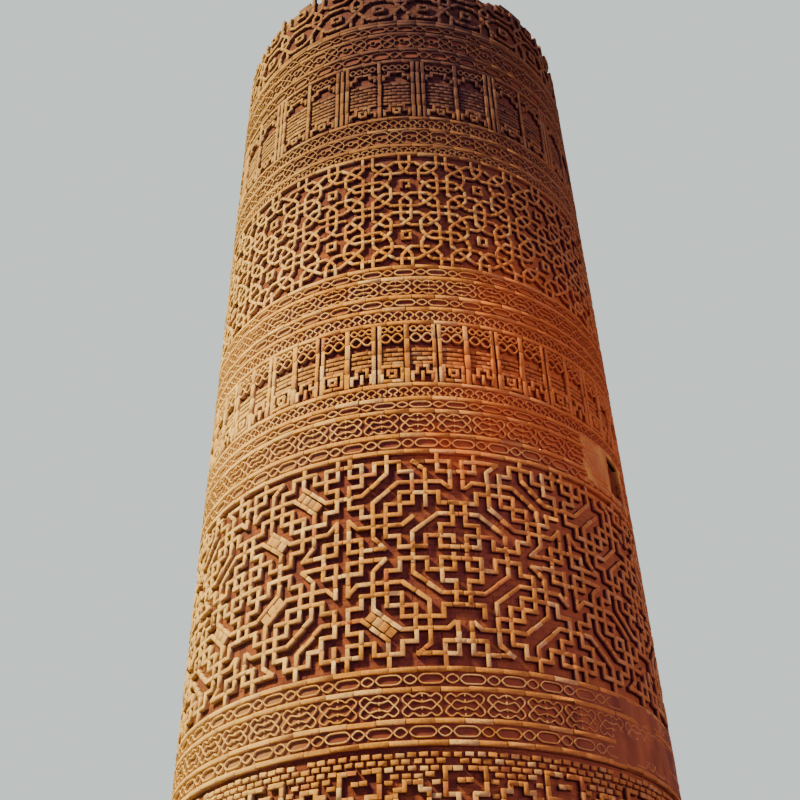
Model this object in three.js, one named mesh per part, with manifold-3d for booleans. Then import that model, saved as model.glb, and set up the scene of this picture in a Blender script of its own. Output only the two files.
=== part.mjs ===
// A round brick minaret, broken off above its top band, as an assembly of masonry segments.
// Millimetres, +Z up. The origin is the centre of the foot, on the ground, and -Y is the front.
// The shaft leans in as it rises. Bands of recessed ground lie between borders, whose narrow
// string courses stand out to the full radius.

import * as THREE from "three";
import { mergeVertices } from "three/addons/utils/BufferGeometryUtils.js";
import Module from "manifold-3d";

const wasm = await Module();
wasm.setup();

// Shaft
const FOOT_RADIUS = 2547; // face of the string courses, carried down to the ground
const BATTER = 0.0277; // how far the face leans in for each millimetre of height
const BORE_RADIUS = 1450; // hollow of the shaft, the same all the way up
const RELIEF = 50; // depth of the recessed ground behind the string courses
const SIDES = 40; // flat sides of the round wall
const GAP = 0.3; // bed and butt joints between neighbouring pieces

// Heights above the ground
const COURSE = 48; // one brick laid flat
const BED = 60; // one brick and its mortar
const BASE_BORDER_FOOT = 2640;
const FRIEZE_BORDER_FOOT = 5063;
const FRET_BORDER_FOOT = 7852;
const LATTICE_BORDER_FOOT = 9412;
const UPPER_BORDER_FOOT = 11881;
const CROWN_BORDER_FOOT = 13516;
const BROKEN_TOP = 15280;

// Doorway at the back, under a pointed arch
const DOOR_WIDTH = 760;
const DOOR_SPRING = 1500; // height at which the arch springs from its jambs
const DOOR_RISE = 470; // height of the arch over its springing
const ARCH_BEARING = 180; // how far the arch block sits over each jamb

// Slit window on the right, which lights the hollow
const WINDOW_BEARING = 62; // degrees from the front, towards the right
const WINDOW_WIDTH = 340;
const WINDOW_SILL = 8000;
const WINDOW_HEIGHT = 450;

// Each border, from its foot up: the heights of the strips between its string courses.
// The last string course is as thick as cap.
const BORDERS = [
  {
    name: "base_border",
    foot: BASE_BORDER_FOOT,
    strips: [126, 222, 131],
    cap: COURSE,
  },
  {
    name: "frieze_border",
    foot: FRIEZE_BORDER_FOOT,
    strips: [131, 222, 126],
    cap: COURSE,
  },
  {
    name: "fret_border",
    foot: FRET_BORDER_FOOT,
    strips: [135, 234, 99, 120],
    cap: COURSE,
  },
  {
    name: "lattice_border",
    foot: LATTICE_BORDER_FOOT,
    strips: [132, 117, 204, 111],
    cap: COURSE,
  },
  {
    name: "upper_border",
    foot: UPPER_BORDER_FOOT,
    strips: [96, 216, 147],
    cap: COURSE,
  },
  {
    name: "crown_border",
    foot: CROWN_BORDER_FOOT,
    strips: [174, 252, 138],
    cap: 2 * COURSE,
  },
];

// Bands between the borders, in the same order
const BANDS = [
  "frieze_band",
  "fret_band",
  "lower_panel_band",
  "lattice_band",
  "upper_panel_band",
];

// The lines of the relief that show from afar, in the bands that have them. Each runs through one
// quarter of a unit of the pattern, from the unit's middle, and the other three quarters mirror it.
// Half is the reach of that quarter, along and up, in the same steps as the lines. The bearing is
// that of the middle of a unit, and lift raises it above the middle of the band.
const RELIEF_LINES = {
  frieze_band: {
    units: 18,
    bearing: 7.8,
    half: [424, 876],
    lift: 0,
    bar: 50,
    lines: [[[70, 505], [70, 300], [250, 300], [250, 120], [120, 120], [120, 0]]],
  },
  fret_band: {
    units: 7,
    bearing: 9.45,
    half: [9, 9.4],
    lift: 15,
    bar: 40,
    lines: [
      [[0, 3.5], [1.6, 3.5], [3.6, 1.8], [3.6, 0]],
      [[5.7, 0.5], [6.6, 1.5], [6.6, 4.7], [4.6, 6.5], [1.2, 6.5]],
      [
        [0, 4.5], [1.5, 4.5], [1.5, 5.5], [4.5, 5.5], [4.5, 3.5], [7.5, 3.5], [7.5, 4.5],
        [8.5, 4.5], [8.5, 6.5], [7.5, 6.5], [7.5, 8.5], [9, 8.5],
      ],
    ],
  },
  lattice_band: {
    units: 17,
    bearing: 0,
    half: [7.06, 14.05],
    lift: -12,
    bar: 34,
    lines: [[[0, 12.35], [1.9, 12.35], [5, 9.95], [6.1, 8.75], [6.1, 4.4], [2.4, 0.9], [0, 0.9]]],
  },
};
const RELIEF_FRONT = 5; // how far the bars lie behind the face of the string courses
const RELIEF_ROOT = 30; // how far the bars run into the wall
const RELIEF_LAP = 2; // how far the loose ends of two bars run into each other
const RELIEF_SLIVER = 1; // corners nearer than this to a straight edge are dropped

// Quarters of a round wall: the middle of each, in degrees from the front towards the right
const QUARTERS = { front: 0, right: 90, back: 180, left: -90 };
const HALF_QUARTER = 45; // degrees from the middle of a quarter to its seam

// The broken rim: stretches that lost bricks, as [from, to] in sides of the round wall counted
// from the front towards the right, and the number of beds that are gone
const LOST_BRICKS = [
  [-19, -17, 2],
  [-16, -13, 1],
  [-11, -10, 3],
  [-8, -6, 1],
  [-3, -1, 1],
  [2, 4, 2],
  [6, 7, 1],
  [8, 10, 3],
  [11, 13, 1],
  [14, 16, 4],
  [17, 18, 2],
];

const paleBrick = { color: 0xd8b47a, roughness: 0.92, metalness: 0 };
const bandBrick = { color: 0x9c5a30, roughness: 0.95, metalness: 0 };
const plainBrick = { color: 0xc79a62, roughness: 0.94, metalness: 0 };

const part = new THREE.Group();

const faceRadius = (height) => FOOT_RADIUS - BATTER * height;
const groundRadius = (height) => faceRadius(height) - RELIEF;
const radians = THREE.MathUtils.degToRad;

// A three.js geometry as a solid that can be cut and joined
function solid(geometry) {
  geometry.deleteAttribute("normal");
  geometry.deleteAttribute("uv");
  const merged = mergeVertices(geometry, 1e-3);
  return new wasm.Manifold(
    new wasm.Mesh({
      numProp: 3,
      vertProperties: merged.attributes.position.array,
      triVerts: new Uint32Array(merged.index.array),
    }),
  );
}

// The solid back as a named mesh
function add(name, made, finish) {
  const mesh = made.getMesh();
  const geometry = new THREE.BufferGeometry();
  geometry.setAttribute(
    "position",
    new THREE.BufferAttribute(mesh.vertProperties, 3),
  );
  geometry.setIndex(new THREE.BufferAttribute(mesh.triVerts, 1));
  geometry.computeVertexNormals();
  const piece = new THREE.Mesh(
    geometry,
    new THREE.MeshStandardMaterial(finish),
  );
  piece.name = name;
  part.add(piece);
}

// A ring whose section is the closed outline of [radius, height] points, turned about the axis
function ring(outline) {
  const points = [...outline, outline[0]].map(([r, h]) => new THREE.Vector2(r, h));
  return solid(new THREE.LatheGeometry(points, SIDES).rotateX(Math.PI / 2));
}

// A plain length of the hollow shaft, its outer face given by a radius at each height
function shaftRing(low, high, radiusAt) {
  return ring([
    [BORE_RADIUS, low],
    [radiusAt(low), low],
    [radiusAt(high), high],
    [BORE_RADIUS, high],
  ]);
}

// A wedge of the space around the axis, between two bearings in degrees from the front, with
// half a joint taken off each side
function wedge(from, to, low, high) {
  const reach = 2 * FOOT_RADIUS;
  const toward = (bearing, distance) => {
    const a = radians(bearing);
    return new THREE.Vector2(distance * Math.sin(a), -distance * Math.cos(a));
  };
  const halfSpread = radians((to - from) / 2);
  const apex = toward((from + to) / 2, GAP / 2 / Math.sin(halfSpread));
  const outline = new THREE.Shape([
    apex,
    apex.clone().add(toward(from, reach)),
    apex.clone().add(toward(to, reach)),
  ]);
  const geometry = new THREE.ExtrudeGeometry(outline, {
    depth: high - low,
    bevelEnabled: false,
  });
  return solid(geometry.translate(0, 0, low));
}

function box(size, centre) {
  return solid(new THREE.BoxGeometry(...size).translate(...centre));
}

// The four quarters of one length of wall, as the nodes NAME_front, NAME_right and so on.
// wallAt gives the wall that stands at the middle of a quarter.
function addQuarters(name, wallAt, low, high, finish) {
  for (const [side, middle] of Object.entries(QUARTERS)) {
    const cut = wedge(middle - HALF_QUARTER, middle + HALF_QUARTER, low - BED, high + BED);
    add(`${name}_${side}`, wallAt(middle).intersect(cut), finish);
  }
}

// Base wall: three whole quarters, and at the back two jambs with the arch between and over them
function doorwaySpace() {
  const half = DOOR_WIDTH / 2;
  const outline = new THREE.Shape();
  outline.moveTo(-half, -BED);
  outline.lineTo(half, -BED);
  outline.lineTo(half, DOOR_SPRING);
  outline.quadraticCurveTo(
    half,
    DOOR_SPRING + 0.6 * DOOR_RISE,
    0,
    DOOR_SPRING + DOOR_RISE,
  );
  outline.quadraticCurveTo(
    -half,
    DOOR_SPRING + 0.6 * DOOR_RISE,
    -half,
    DOOR_SPRING,
  );
  const geometry = new THREE.ExtrudeGeometry(outline, {
    depth: FOOT_RADIUS,
    bevelEnabled: false,
    curveSegments: 6,
  });
  return solid(
    geometry.rotateX(Math.PI / 2).translate(0, FOOT_RADIUS + RELIEF, 0),
  );
}

function addBase() {
  const top = BASE_BORDER_FOOT - GAP;
  const wall = shaftRing(0, top, faceRadius);
  for (const side of ["front", "right", "left"]) {
    const middle = QUARTERS[side];
    const cut = wedge(middle - HALF_QUARTER, middle + HALF_QUARTER, -BED, top + BED);
    add(`base_wall_${side}`, wall.intersect(cut), plainBrick);
  }
  const blockWidth = DOOR_WIDTH + 2 * ARCH_BEARING;
  const blockHeight = BASE_BORDER_FOOT;
  const block = box(
    [blockWidth, FOOT_RADIUS, blockHeight],
    [0, FOOT_RADIUS, DOOR_SPRING + blockHeight / 2],
  );
  const blockSeat = box(
    [blockWidth + 2 * GAP, FOOT_RADIUS, blockHeight + 2 * GAP],
    [0, FOOT_RADIUS, DOOR_SPRING + blockHeight / 2],
  );
  const space = doorwaySpace();
  const jambs = wall.subtract(blockSeat).subtract(space);
  const seams = [135, 180, 225];
  add(
    "base_wall_back_right",
    jambs.intersect(wedge(seams[0], seams[1], -BED, top + BED)),
    plainBrick,
  );
  add(
    "base_wall_back_left",
    jambs.intersect(wedge(seams[1], seams[2], -BED, top + BED)),
    plainBrick,
  );
  add("doorway_arch", wall.intersect(block).subtract(space), plainBrick);
}

// Borders: string courses at the full radius with recessed strips between them
function borderHeight({ strips, cap }) {
  return strips.reduce((sum, strip) => sum + COURSE + strip, cap);
}

function borderRing(border) {
  const outline = [[BORE_RADIUS, border.foot]];
  let height = border.foot;
  for (const strip of border.strips) {
    const courseTop = height + COURSE;
    const stripTop = courseTop + strip;
    outline.push(
      [faceRadius(height), height],
      [faceRadius(courseTop), courseTop],
      [groundRadius(courseTop), courseTop],
      [groundRadius(stripTop), stripTop],
    );
    height = stripTop;
  }
  const top = height + border.cap - GAP;
  outline.push(
    [faceRadius(height), height],
    [faceRadius(top), top],
    [BORE_RADIUS, top],
  );
  return ring(outline);
}

// The slit window, a straight-sided way through the wall
function windowSpace() {
  return solid(
    new THREE.BoxGeometry(WINDOW_WIDTH, 2 * FOOT_RADIUS, WINDOW_HEIGHT)
      .translate(0, -FOOT_RADIUS, WINDOW_SILL + WINDOW_HEIGHT / 2)
      .rotateZ(radians(WINDOW_BEARING)),
  );
}

function addBorders() {
  for (const border of BORDERS) {
    const whole = borderRing(border);
    const pierced = border.name === "fret_border";
    add(border.name, pierced ? whole.subtract(windowSpace()) : whole, paleBrick);
  }
}

// The flat outlines of the straight bars that follow a line, each carried on past its ends to
// fill the corners
function barOutlines(line, width) {
  const points = line.map(([x, y]) => new THREE.Vector2(x, y));
  const runs = points.slice(1).map((point, i) => point.clone().sub(points[i]));
  const bends = runs.slice(1).map((run, i) => Math.abs(runs[i].angleTo(run)));
  const mitres = bends.map((bend) => (width / 2) * Math.tan(bend / 2));
  const reach = [RELIEF_LAP, ...mitres, RELIEF_LAP];
  return runs.map((run, i) => {
    const way = run.clone().normalize();
    const side = new THREE.Vector2(-way.y, way.x).multiplyScalar(width / 2);
    const start = points[i].clone().addScaledVector(way, -reach[i]);
    const end = points[i + 1].clone().addScaledVector(way, reach[i + 1]);
    return [
      start.clone().sub(side),
      end.clone().sub(side),
      end.clone().add(side),
      start.clone().add(side),
    ].map((corner) => corner.toArray());
  });
}

// The bars that cross one quarter of a band. They are drawn flat, along from the quarter's middle
// and up, thickened, and bent round the shaft.
function reliefBars({ units, bearing, half, lift, bar, lines }, low, high, middle) {
  const girth = faceRadius((low + high) / 2);
  const unitAngle = 360 / units;
  const along = (radians(unitAngle / 2) * girth) / half[0];
  const up = (high - low) / 2 / half[1];
  const level = (low + high) / 2 + lift;
  const mirrors = [[1, 1], [-1, 1], [1, -1], [-1, -1]];
  const outlines = [];
  for (let i = 0; i < units; i++) {
    const turn = THREE.MathUtils.euclideanModulo(bearing + unitAngle * i - middle + 180, 360) - 180;
    if (Math.abs(turn) > HALF_QUARTER + unitAngle) continue;
    for (const [sx, sy] of mirrors) {
      for (const line of lines) {
        const drawn = line.map(([x, y]) => [
          radians(turn) * girth + sx * x * along,
          level + sy * y * up,
        ]);
        outlines.push(...barOutlines(drawn, bar));
      }
    }
  }
  const flats = outlines.map((outline) => new wasm.CrossSection([outline], "NonZero"));
  const section = wasm.CrossSection.union(flats).simplify(RELIEF_SLIVER);
  const depth = RELIEF + RELIEF_ROOT - RELIEF_FRONT;
  const flat = wasm.Manifold.extrude(section, depth).translate([0, 0, -RELIEF - RELIEF_ROOT]);
  return flat.warp((point) => {
    const [x, height, proud] = point;
    const radius = faceRadius(height) + proud;
    const angle = radians(middle) + x / girth;
    point[0] = radius * Math.sin(angle);
    point[1] = -radius * Math.cos(angle);
    point[2] = height;
  });
}

function addBands() {
  BANDS.forEach((name, i) => {
    const low = BORDERS[i].foot + borderHeight(BORDERS[i]);
    const high = BORDERS[i + 1].foot - GAP;
    const wall = shaftRing(low, high, groundRadius);
    const pattern = RELIEF_LINES[name];
    const wallAt = (middle) =>
      pattern ? wall.add(reliefBars(pattern, low, high, middle)) : wall;
    addQuarters(name, wallAt, low, high, bandBrick);
  });
}

// Crown band, with its rim broken in steps of whole beds
function addCrown() {
  const last = BORDERS[BORDERS.length - 1];
  const low = last.foot + borderHeight(last);
  const sideAngle = 360 / SIDES;
  const wall = LOST_BRICKS.reduce(
    (left, [from, to, beds]) =>
      left.subtract(
        wedge(
          from * sideAngle,
          to * sideAngle,
          BROKEN_TOP - beds * BED,
          BROKEN_TOP + BED,
        ),
      ),
    shaftRing(low, BROKEN_TOP, groundRadius),
  );
  addQuarters("crown_band", () => wall, low, BROKEN_TOP, bandBrick);
}

addBase();
addBorders();
addBands();
addCrown();

export default part;
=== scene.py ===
# A round brick minaret, broken off above its top band, dressed brick by brick over its plain
# walls. Metres, +Z up. The shaft stands on the ground at the origin and -Y is its front.
# Relief is set out flat, as (along, height, proud): along runs to the right round the shaft and
# proud is measured from the face of the string courses, outwards. It is then bent round.

import math

import bmesh
import bpy
import numpy as np
from mathutils import Matrix, Vector


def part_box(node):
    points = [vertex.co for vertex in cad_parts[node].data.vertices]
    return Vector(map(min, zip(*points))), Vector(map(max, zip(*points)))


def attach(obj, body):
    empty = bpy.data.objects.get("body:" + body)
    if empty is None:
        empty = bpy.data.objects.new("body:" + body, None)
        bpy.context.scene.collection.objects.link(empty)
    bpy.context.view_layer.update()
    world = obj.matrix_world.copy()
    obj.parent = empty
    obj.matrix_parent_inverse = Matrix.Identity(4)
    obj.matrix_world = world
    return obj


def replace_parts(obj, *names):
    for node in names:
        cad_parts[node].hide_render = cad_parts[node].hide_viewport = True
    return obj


bl_info = {
    "name": "Brick minaret",
    "version": (1, 0, 0),
    "blender": (4, 5, 0),
    "location": "View3D > Sidebar > Minaret",
    "description": "Dresses the plain walls of a minaret with its bricks, relief bands and borders",
    "category": "Object",
}

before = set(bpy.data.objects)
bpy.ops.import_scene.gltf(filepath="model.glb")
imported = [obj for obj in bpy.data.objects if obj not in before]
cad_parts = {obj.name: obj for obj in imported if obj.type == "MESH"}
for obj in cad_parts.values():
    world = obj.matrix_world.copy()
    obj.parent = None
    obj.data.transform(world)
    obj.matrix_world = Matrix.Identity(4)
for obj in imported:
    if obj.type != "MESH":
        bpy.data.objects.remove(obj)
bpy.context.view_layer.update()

MM = 0.001
FOOT_RADIUS = -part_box("base_wall_front")[0][1]  # face of the string courses at the ground
BATTER = 0.0277  # how far the face leans in for each metre of height
BORE_RADIUS = 1.45  # hollow of the shaft
TURN_STEPS = 160  # flats round a turned wall
SIDES = ("front", "right", "back", "left")
BANDS = ("frieze_band", "fret_band", "lower_panel_band", "lattice_band", "upper_panel_band",
         "crown_band")

# Where fronts lie, measured outwards from the face of the string courses
BAR_FRONT = -0.005
STAVE_FRONTS = (-0.004, -0.003)  # in the lower panel and in the upper panel
COURSE_FRONT = -0.003
WALL_FRONT = -0.002
FURTHEST_FRONT = -0.0005  # no brick passes this, so the part keeps its size
BEHIND = 0.003  # how far a strand reaches into the ground behind it
COURSE_JOINT = 0.008  # mortar above and below a string course, added up
COURSE_TAIL = 0.02  # how much deeper a string course is than the relief, to be tied in
BASE_JOINT = 0.01  # mortar between the ends of the base bricks
BASE_BRICK_DEPTH = 0.03
SHORTEST_BRICK = 0.05  # no shorter piece is laid beside the doorway
DRAWN_BRICK = (0.24, 0.06)  # length and height of a drawn brick with its mortar

# One module of each border motif: its width and the height of its strip, in millimetres, and
# the spacing of the points along its strands
MODULES = {
    "chain": (350, 131, 21),
    "wave": (348, 228, 21),
    "net": (340, 216, 21),
    "hourglass": (106, 120, 13),
}

# Borders from the foot up. For each strip between two string courses: its height in
# millimetres, its motif, how many modules go round, and the bearing in degrees of one of them
BORDERS = {
    "base_border": [(126, "chain", 43, 2.0), (222, "wave", 43, 0.1), (131, "chain", 43, 0.1)],
    "frieze_border": [(131, "chain", 43, 0.1), (222, "wave", 43, 0.1), (126, "chain", 43, 2.0)],
    "fret_border": [(135, "chain", 42, 3.0), (234, "wave", 42, 1.2), (99, "chain", 42, 2.0),
                    (120, "hourglass", 137, 0.8)],
    "lattice_border": [(132, "hourglass", 134, 0.0), (117, "chain", 42, -1.0),
                       (204, "wave", 42, -3.3), (111, "chain", 42, -1.0)],
    "upper_border": [(96, "hourglass", 127, 0.0), (216, "net", 41, 6.1),
                     (147, "hourglass", 127, 0.0)],
    "crown_border": [(174, "chain", 38, 2.8), (252, "net", 38, 5.3), (138, "chain", 39, 1.7)],
}

# Fret band: one quarter of its unit, counted in squares of the setting-out grid from the middle
# of the great octagon. The other three quarters mirror it.
FRET_UNITS = 7
FRET_BEARING = 9.45
FRET_SQUARES = (9, 9.4)  # squares in half a unit, along and up
FRET_LIFT = 0.015  # how far the middle of the pattern lies above the middle of the band
FRET = [
    [(0.5, 4.5), (0.5, 2.5), (1.5, 2.5), (1.5, 0.5), (0, 0.5)],
    [(0, 4.5), (1.5, 4.5), (1.5, 5.5), (4.5, 5.5), (4.5, 3.5), (7.5, 3.5), (7.5, 4.5),
     (8.5, 4.5), (8.5, 6.5), (7.5, 6.5), (7.5, 8.5), (9, 8.5)],
    [(0, 3.5), (1.6, 3.5), (3.6, 1.8), (3.6, 0)],
    [(0.5, 5.8), (0.5, 8.5), (3.4, 8.5), (2.5, 7.7), (2.5, 4.2), (4.4, 2.5), (7.8, 2.5),
     (8.5, 3.3), (8.5, 0.5), (5.7, 0.5), (6.6, 1.5), (6.6, 4.7), (4.6, 6.5), (1.2, 6.5),
     (0.6, 5.9)],
    [(9, 1.5), (7.5, 1.5), (7.5, 0)],
    [(1.5, 9.6), (1.5, 7.5), (0, 7.5)],
    [(8.5, 9.6), (8.5, 7.5), (6.5, 7.5), (6.5, 8.5), (4.5, 8.5), (4.5, 7.5), (3.5, 7.5),
     (3.5, 4.5), (5.6, 4.5), (5.6, 1.5), (4.6, 1.5), (4.6, 0.5), (2.6, 0.5), (2.6, 1.5),
     (0.5, 1.5), (0.5, 0)],
    [(5.5, 9.6), (5.5, 7.4), (7.5, 5.5), (9, 5.5)],
]
# The double diagonals that kept their filler bricks: the unit, counted to the right from the
# one in front, and the line that they follow
FRET_FILLERS = [
    (-1, [(5.1, 6.9), (7.0, 5.1)]),
    (-1, [(2.2, 3.75), (3.9, 2.3)]),
    (-1, [(-2.2, -3.75), (-3.9, -2.3)]),
    (-1, [(2.2, -3.75), (3.9, -2.3)]),
    (0, [(-5.1, -6.9), (-7.0, -5.1)]),
    (2, [(5.1, 6.9), (7.0, 5.1)]),
    (3, [(-5.1, 6.9), (-7.0, 5.1)]),
]
FILLER = (0.08, -0.014, 0.04, 0.1)  # width, front, depth and greatest length of a filler

# Lattice band: one quarter of its cell, in steps from the middle, between two stars
LATTICE_CELLS = 17
LATTICE_STEPS = (7.06, 14.05)  # steps in half a cell, along and up
LATTICE_LIFT = -0.012
LATTICE_BAR = 0.032
LATTICE = [
    [(0.95, 14.4), (0.95, 12.1), (0.85, 11.3), (0, 10.05), (-0.85, 9.35), (-4.1, 9.35),
     (-5.2, 10.15), (-6.1, 11.2), (-6.1, 14.4)],
    [(0, 12.35), (1.9, 12.35), (5, 9.95), (6.1, 8.75), (6.1, 4.4), (5.2, 3.3), (4.35, 2.5),
     (4, 2), (2.9, 1.2), (2.4, 0.9), (0, 0.9)],
    [(7.06, 12.2), (4.4, 12.2), (3.5, 11.3), (2.65, 10.1), (2.65, 8.2), (3.1, 7.2),
     (4.2, 6.2), (4.7, 5.6), (7.06, 5.6)],
    [(7.06, 7.4), (4.6, 7.4), (3.6, 6.7), (2.8, 5.5), (2.7, 3), (3.2, 2.3), (4.2, 1.4),
     (4.7, 0.9), (7.06, 0.9)],
    [(0.95, 0), (0.95, 2.2), (0, 3.3), (-0.9, 4.1), (-4, 4.1), (-5.2, 3.2), (-6.1, 2.3),
     (-6.1, 0)],
    [(0, 7.35), (0.75, 7.35), (0.75, 5.75), (0, 5.75)],
]

# Crown band: half of its cell in millimetres, along from its hollow square and up from its foot
CROWN_CELLS = 24
CROWN_BEARING = -7.0
CROWN_WIDTH = 556
CROWN_LOSS = 3  # the crown has lost so many times more bricks than the other bands
CROWN = [
    [(0, 309), (56, 309), (56, 219), (0, 219)],
    [(202, 0), (202, 180), (278, 285), (340, 350), (340, 480), (278, 560), (202, 640),
     (202, 960)],
    [(0, 80), (90, 80), (150, 110), (202, 180)],
    [(0, 450), (100, 450), (190, 390), (278, 390)],
    [(0, 700), (56, 700), (56, 790), (0, 790)],
    [(0, 560), (100, 560), (202, 640)],
]

# Frieze band: one quarter of its angular key in millimetres, from the middle of the unit
FRIEZE_UNITS = 18
FRIEZE_BEARING = 7.8
FRIEZE_WIDTH = 848
FRIEZE_BAR = 0.038
FRIEZE_KEY_FRONT = -0.004
FRIEZE = [
    [(22, 690), (163, 690), (163, 485), (66, 485), (66, 300), (250, 300), (250, 120),
     (120, 120), (120, 0)],
    [(0, 598), (66, 598)],
    [(424, 584), (362, 584), (362, 524), (294, 524), (294, 400), (424, 400)],
    [(424, 210), (350, 210), (350, 0)],
]
# Room that the key takes up in the field of headers: more than, less than, along and then up
KEY_ROOM = [
    (-1, 205, 450, 725),
    (-1, 290, -1, 335),
    (255, 999, 370, 555),
    (-1, 105, -1, 520),
    (325, 999, -1, 245),
    (325, 999, 500, 615),
]
HEADERS_ROUND = 162
HEADER_RISE = 0.0552
HEADER_TOP = 0.066  # from the top of the band down to the middle of its first headers
HEADER_JOINT = 0.022
HEADER_HEIGHT = 0.037
HEADER_FRONT = -0.02
HEADER_DEPTH = 0.04
HEADERS_LOST = 0.03  # share of them
HEADER_LENGTHS = (0.82, 1.0)  # shares of the whole length between which they vary
HEADER_HEIGHTS = (0.86, 1.04)  # and shares of their height
HEADER_SHIFT = 0.002  # how far they stray up or down
HEADER_TILT = 0.05  # how far they turn, in radians
HEADER_STRAY = 0.004  # how far their fronts lie out of line

# Panels: the bars of their motifs, the bricks stacked in their bays (length, height, front and
# depth) and the strands of their loops (spacing of the points, width and front)
MOTIF_BAR = 0.032
STACKED_BRICK = (0.115, 0.036, -0.028, 0.03)
LOOP_STRAND = (0.024, 0.018, -0.006)

# The broken rim: stretches that lost bricks, as [from, to] in steps of the bearing from the
# front towards the right, and the number of beds that are gone
RIM_STEP = 9
RIM_BEDS = 4
RIM_RINGS = 3  # bricks through the thickness of the wall
RIM_BRICK = 0.85  # length of its bricks, as a share of a whole one
RIM_JOINT = 0.008
RIM_BED_JOINT = 0.004
RIM_WEAR = 0.12  # share of its outer bricks that a bed has lost beyond the bed below it
LOST_BRICKS = [
    (-19, -17, 2), (-16, -13, 1), (-11, -10, 3), (-8, -6, 1), (-3, -1, 1), (2, 4, 2),
    (6, 7, 1), (8, 10, 3), (11, 13, 1), (14, 16, 4), (17, 18, 2),
]

# Slit window on the right, and the bearings and the room above and below that its plaster takes
WINDOW_BEARING = 62
WINDOW_WIDTH = 0.34
WINDOW_SILL = 8.0
WINDOW_HEIGHT = 0.45
PATCH_BEARINGS = (45, 70)
PATCH_ROOM = 0.09
PATCH_FRONT = -0.006
PATCH_CELLS = (44, 22)  # faces along and up

# The bearings between which the lower border has lost its ornament to wear and old plaster, and
# where the plaster's face lies at its thin left end and in its full thickness
WORN_BEARINGS = (30, 96)
WORN_FRONTS = (-0.03, -0.0042)
WORN_CELLS = (90, 30)
WORN_FOOT = 0.01  # how far above the foot of its border the plaster starts
PLASTER_THICKNESS = 0.05
PLASTER_RISE = 0.2  # share of its width in which the face rises to its full thickness
PLASTER_WAVES = 0.002  # height of the trowel's waves
PLASTER_EDGE = 0.15  # where its ragged edge ends
PLASTER_RAGGED = 0.08  # how far that edge strays inwards
PLASTER_SUNK = 0.01  # how far that edge dips behind the ground
PLASTER_FURTHEST = -0.001  # no plaster passes this

# Doorway at the back
DOOR_BEARING = 180
DOOR_WIDTH = 0.76
DOOR_SPRING = 1.5
DOOR_RISE = 0.47
ARCH_FULLNESS = 0.6  # height of its curve's control point, as a share of its rise
ARCH_DEPTH = 0.18  # length of the arch bricks
ARCH_PEAK = 1.15  # how far they reach above its point, as a share of their length
ARCH_BRICK = 0.058  # thickness of an arch brick and its mortar
ARCH_COURSE = 0.048  # thickness of the brick alone
RAKED = 0.01  # how far the joints of the base lie back

# Where the photo was taken from, and the turn of its camera, in radians
EYE = (0, -12, 1.6)
PITCH = 0.61631
ROLL = -0.0254
YAW = -0.01171
FOCAL_PIXELS = 1248.4
PHOTO_PIXELS = 800
SENSOR = 36

# The floor and the air: what the bricks get from them, and what the eye sees
FLOOR_RADIUS = 60
FLOOR_LEVEL = -0.002  # just clear of the foot
FLOOR_LIT = "6E6862"
FLOOR_GLOW = 0.3
AIR_LIT = ("C4BCD8", 0.4)  # colour and strength
AIR_SEEN = ("D0DAD6", 1.3)

# Lamps: place, height on the axis that they aim at, size, power, spread in degrees and colour
LAMPS = {
    "key_softbox": ((-15.6, -12.2, 23.5), 0, 3.5, 8000, 120, "FFDF9C"),
    "shade_softbox": ((5, -15, 1), 8.5, 6, 140, 60, "9C60E0"),
    "fill_softbox": ((15, -12, 9), 8.5, 9, 225, 70, "FFD4A8"),
    "back_softbox": ((5, 16, 18), 8.5, 8, 500, 60, "FFE0C4"),
}

# Sizes and colours that a user would change: name, description and default
LENGTHS = {
    "relief": ("Relief", "How far the string courses and the ornament stand out from the ground",
               0.05),
    "course": ("Course", "Height of one brick laid flat", 0.048),
    "bed": ("Bed", "Height of one brick and its mortar", 0.06),
    "brick": ("Brick length", "Length of a whole brick", 0.24),
    "half_brick": ("Half brick", "Longest brick in the bars of the relief", 0.16),
    "joint": ("Joint", "Gap between the ends of two bricks", 0.005),
    "arris": ("Worn edge", "How much of each front edge has worn away", 0.002),
    "inlay": ("Inlay", "How far the plates behind the strands lie back from the string courses",
              0.03),
    "bar": ("Bar", "Width of the bars of the fret", 0.038),
    "strand": ("Strand", "Width of the cut strands in the borders", 0.0115),
    "looseness": ("Looseness", "How far the corners of the bricks stray from true", 0.002),
}
COLOURS = {
    "plate": ("Plate", "Terracotta plates behind the strands of the borders", "763C2A"),
    # Orange tint laid over the two middle borders on the right
    "burnt": ("Burnt orange", "Stain over the two middle borders on the right", "C2682C"),
    # Painted shade that darkens the top, less on the far left and the far right
    "soot": ("Soot", "Old dirt over the bricks of the crown", "4A2C36"),
    # Also the painted light that pales the left side
    "straw": ("Straw brick", "Palest brick, bleached by the sun", "E6CA88"),
    "buff": ("Buff brick", "Most of the bricks", "C8923E"),
    # Also the painted shade that reddens the right side
    "orange": ("Orange brick", "Bricks burnt harder, and the sheltered side", "B0663A"),
    "ground": ("Ground brick", "Recessed brick behind the ornament", "8A4E2E"),
    "earth": ("Earth brick", "Darker recessed bricks", "743A28"),
    # Grime, and also the painted shade on the sides and undersides of the relief
    "grime": ("Grime", "Dirt that lies in the recesses", "501A2E"),
    "mortar": ("Mortar", "Lime mortar in the joints", "A0805A"),
    "plaster": ("Plaster", "Mud plaster of the old repair beside the window", "DCA64A"),
    "floor": ("Floor", "Plain studio floor", "D6D4CE"),
}


def linear(shade):
    """An sRGB colour, written as six hex digits, as the linear values that Blender wants."""
    parts = [int(shade[i : i + 2], 16) / 255 for i in (0, 2, 4)]
    return tuple(c / 12.92 if c <= 0.04045 else ((c + 0.055) / 1.055) ** 2.4 for c in parts)


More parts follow.
